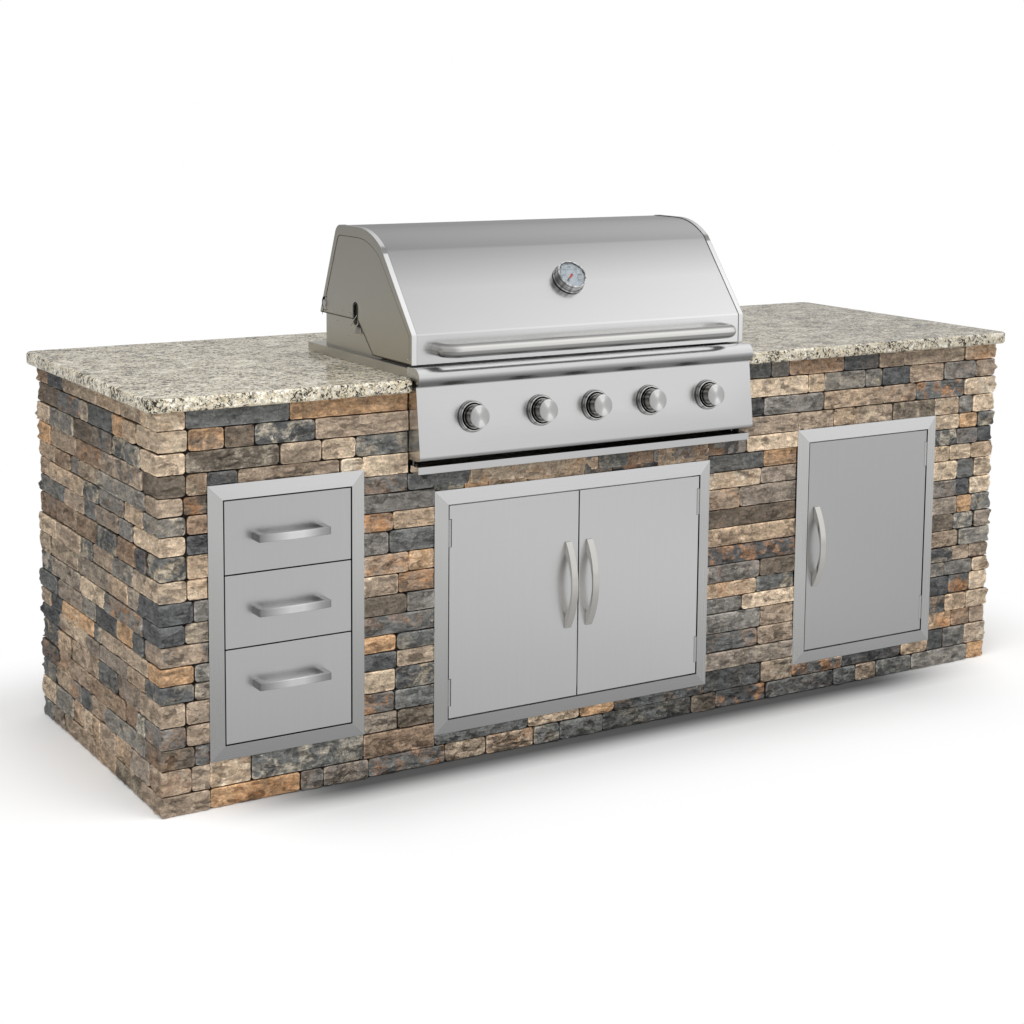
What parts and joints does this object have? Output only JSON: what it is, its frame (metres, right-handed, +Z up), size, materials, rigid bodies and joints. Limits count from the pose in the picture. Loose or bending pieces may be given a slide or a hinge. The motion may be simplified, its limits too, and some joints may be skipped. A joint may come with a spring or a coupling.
{
  "type": "outdoor kitchen island",
  "caption": "Stone-clad outdoor kitchen island with a granite top, a built-in gas grill under a hinged hood, and steel drawers and doors in its front.",
  "frame": {"origin": "on the floor under the middle of the box round the whole object", "axes": "+X along the island to the right as seen from the front, +Y from the front to the back, +Z up; the doors and the grill face -Y"},
  "size_m": [2.47, 0.922, 1.237],
  "materials": {
    "split_stone": "rough split face",
    "granite": "polished",
    "galvanised_steel": "galvanised, dull",
    "firebox_steel": "mill finish",
    "brushed_steel": "brushed",
    "hood_steel": "fine brushed",
    "polished_steel": "polished",
    "brass": "satin",
    "handle_steel": "satin",
    "needle": "satin"
  },
  "bodies": {
    "island": {"stone_wall_front": "split_stone", "stone_wall_back": "split_stone", "stone_wall_left": "split_stone", "stone_wall_right": "split_stone", "countertop": "granite", "base_track_front": "galvanised_steel", "base_track_back": "galvanised_steel", "end_frame_left": "galvanised_steel", "end_frame_right": "galvanised_steel", "bay_frame_left": "galvanised_steel", "bay_frame_right": "galvanised_steel", "firebox": "firebox_steel", "heat_plate": "firebox_steel", "burner_1": "firebox_steel", "burner_2": "firebox_steel", "burner_3": "firebox_steel", "burner_4": "firebox_steel", "burner_5": "firebox_steel", "cooking_grate_1": "firebox_steel", "cooking_grate_2": "firebox_steel", "cooking_grate_3": "firebox_steel", "control_panel": "brushed_steel", "double_door_frame": "brushed_steel", "single_door_frame": "brushed_steel", "drawer_housing": "brushed_steel", "warming_rack": "polished_steel", "hood_hinge_rod": "polished_steel", "knob_bezel_1": "polished_steel", "knob_bezel_2": "polished_steel", "knob_bezel_3": "polished_steel", "knob_bezel_4": "polished_steel", "knob_bezel_5": "polished_steel", "gas_manifold": "brass"},
    "hood_body": {"hood": "hood_steel", "hood_handle": "polished_steel", "thermometer_case": "polished_steel"},
    "needle": {"thermometer_needle": "needle"},
    "tray": {"drip_tray": "brushed_steel"},
    "drawer_top": {"drawer_1": "brushed_steel", "drawer_handle_1": "handle_steel"},
    "drawer_middle": {"drawer_2": "brushed_steel", "drawer_handle_2": "handle_steel"},
    "drawer_bottom": {"drawer_3": "brushed_steel", "drawer_handle_3": "handle_steel"},
    "left_door": {"door_left": "brushed_steel", "door_handle_left": "handle_steel"},
    "right_door": {"door_right": "brushed_steel", "door_handle_right": "handle_steel"},
    "right_end_door": {"single_door": "brushed_steel", "single_door_handle": "handle_steel"},
    "stem_1": {"valve_stem_1": "brass"},
    "knob_1": {"control_knob_1": "brushed_steel"},
    "stem_2": {"valve_stem_2": "brass"},
    "knob_2": {"control_knob_2": "brushed_steel"},
    "stem_3": {"valve_stem_3": "brass"},
    "knob_3": {"control_knob_3": "brushed_steel"},
    "stem_4": {"valve_stem_4": "brass"},
    "knob_4": {"control_knob_4": "brushed_steel"},
    "stem_5": {"valve_stem_5": "brass"},
    "knob_5": {"control_knob_5": "brushed_steel"}
  },
  "joints": [
    {"name": "hood_hinge", "type": "hinge", "parent": "island", "child": "hood_body", "pos_m": [-0.14281, 0.06028, 1.041], "axis": [-1, 0, 0], "range_deg": [0, 88]},
    {"name": "needle_pivot", "type": "hinge", "parent": "hood_body", "child": "needle", "pos_m": [-0.14281, -0.3033, 1.10957], "axis": [0, 0.7784, -0.6278], "range_deg": [-5, 265]},
    {"name": "tray_slide", "type": "slide", "parent": "island", "child": "tray", "axis": [0, -1, 0], "range_m": [0, 0.4]},
    {"name": "drawer_top_slide", "type": "slide", "parent": "island", "child": "drawer_top", "axis": [0, -1, 0], "range_m": [0, 0.4]},
    {"name": "drawer_middle_slide", "type": "slide", "parent": "island", "child": "drawer_middle", "axis": [0, -1, 0], "range_m": [0, 0.4]},
    {"name": "drawer_bottom_slide", "type": "slide", "parent": "island", "child": "drawer_bottom", "axis": [0, -1, 0], "range_m": [0, 0.4]},
    {"name": "left_door_hinge", "type": "hinge", "parent": "island", "child": "left_door", "pos_m": [-0.50882, -0.38072, 0.36], "axis": [0, 0, -1], "range_deg": [0, 100]},
    {"name": "right_door_hinge", "type": "hinge", "parent": "island", "child": "right_door", "pos_m": [0.19919, -0.38072, 0.36], "axis": [0, 0, 1], "range_deg": [0, 100]},
    {"name": "right_end_door_hinge", "type": "hinge", "parent": "island", "child": "right_end_door", "pos_m": [0.958, -0.38072, 0.3885], "axis": [0, 0, 1], "range_deg": [0, 100]},
    {"name": "push_1", "type": "slide", "parent": "island", "child": "stem_1", "axis": [0, 0.9923, -0.124], "range_m": [0, 0.004], "stiffness_N_per_m": 2000, "springref_m": -0.002},
    {"name": "turn_1", "type": "hinge", "parent": "stem_1", "child": "knob_1", "pos_m": [-0.47369, -0.4201, 0.823], "axis": [0, -0.9923, 0.124], "range_deg": [0, 225]},
    {"name": "push_2", "type": "slide", "parent": "island", "child": "stem_2", "axis": [0, 0.9923, -0.124], "range_m": [0, 0.004], "stiffness_N_per_m": 2000, "springref_m": -0.002},
    {"name": "turn_2", "type": "hinge", "parent": "stem_2", "child": "knob_2", "pos_m": [-0.2904, -0.4201, 0.823], "axis": [0, -0.9923, 0.124], "range_deg": [0, 225]},
    {"name": "push_3", "type": "slide", "parent": "island", "child": "stem_3", "axis": [0, 0.9923, -0.124], "range_m": [0, 0.004], "stiffness_N_per_m": 2000, "springref_m": -0.002},
    {"name": "turn_3", "type": "hinge", "parent": "stem_3", "child": "knob_3", "pos_m": [-0.13906, -0.4201, 0.823], "axis": [0, -0.9923, 0.124], "range_deg": [0, 225]},
    {"name": "push_4", "type": "slide", "parent": "island", "child": "stem_4", "axis": [0, 0.9923, -0.124], "range_m": [0, 0.004], "stiffness_N_per_m": 2000, "springref_m": -0.002},
    {"name": "turn_4", "type": "hinge", "parent": "stem_4", "child": "knob_4", "pos_m": [0.01792, -0.4201, 0.823], "axis": [0, -0.9923, 0.124], "range_deg": [0, 225]},
    {"name": "push_5", "type": "slide", "parent": "island", "child": "stem_5", "axis": [0, 0.9923, -0.124], "range_m": [0, 0.004], "stiffness_N_per_m": 2000, "springref_m": -0.002},
    {"name": "turn_5", "type": "hinge", "parent": "stem_5", "child": "knob_5", "pos_m": [0.19182, -0.4201, 0.823], "axis": [0, -0.9923, 0.124], "range_deg": [0, 225]}
  ]
}
